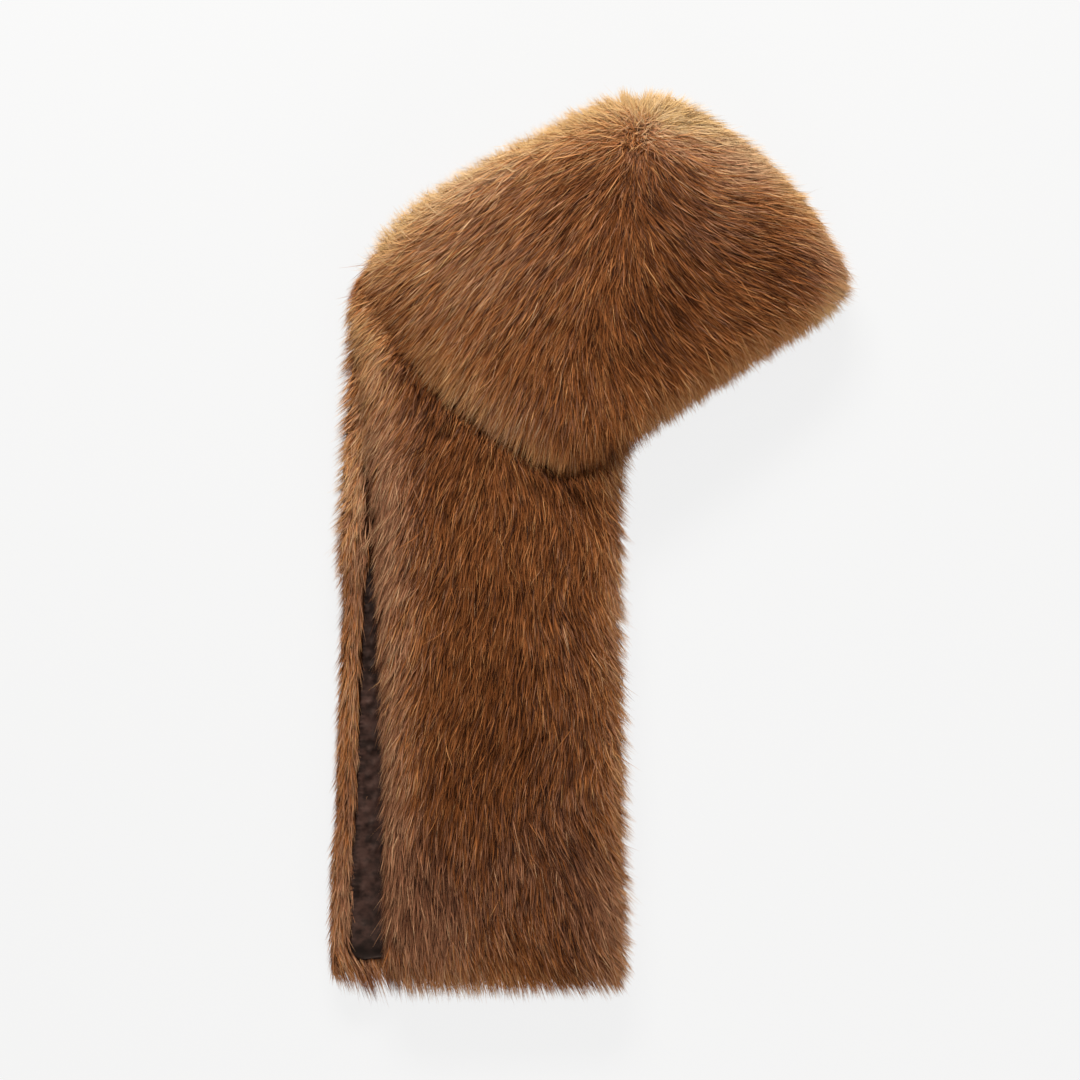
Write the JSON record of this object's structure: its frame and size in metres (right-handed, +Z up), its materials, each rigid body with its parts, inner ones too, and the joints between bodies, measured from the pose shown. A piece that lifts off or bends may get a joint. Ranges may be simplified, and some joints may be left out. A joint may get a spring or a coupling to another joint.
{
  "type": "fur collar wrap",
  "caption": "Long-pile brown fur collar wrap with a satin lining, folded at the centre back and laid flat with both tails together.",
  "frame": {"origin": "centre of the folded wrap's outline, on the surface it rests on", "axes": "+X from the tails towards the centre-back fold, +Y from the hems to the collar, +Z up from the table"},
  "size_m": [0.3616, 0.6271, 0.0577],
  "materials": {
    "fur": "long brushed pile, chestnut brown with tan tips",
    "lining": "dark brown satin"
  },
  "bodies": {
    "root": {"near_collar": "fur", "near_tail": "fur", "far_collar": "fur", "far_tail": "fur", "far_lining": "lining"}
  },
  "joints": []
}
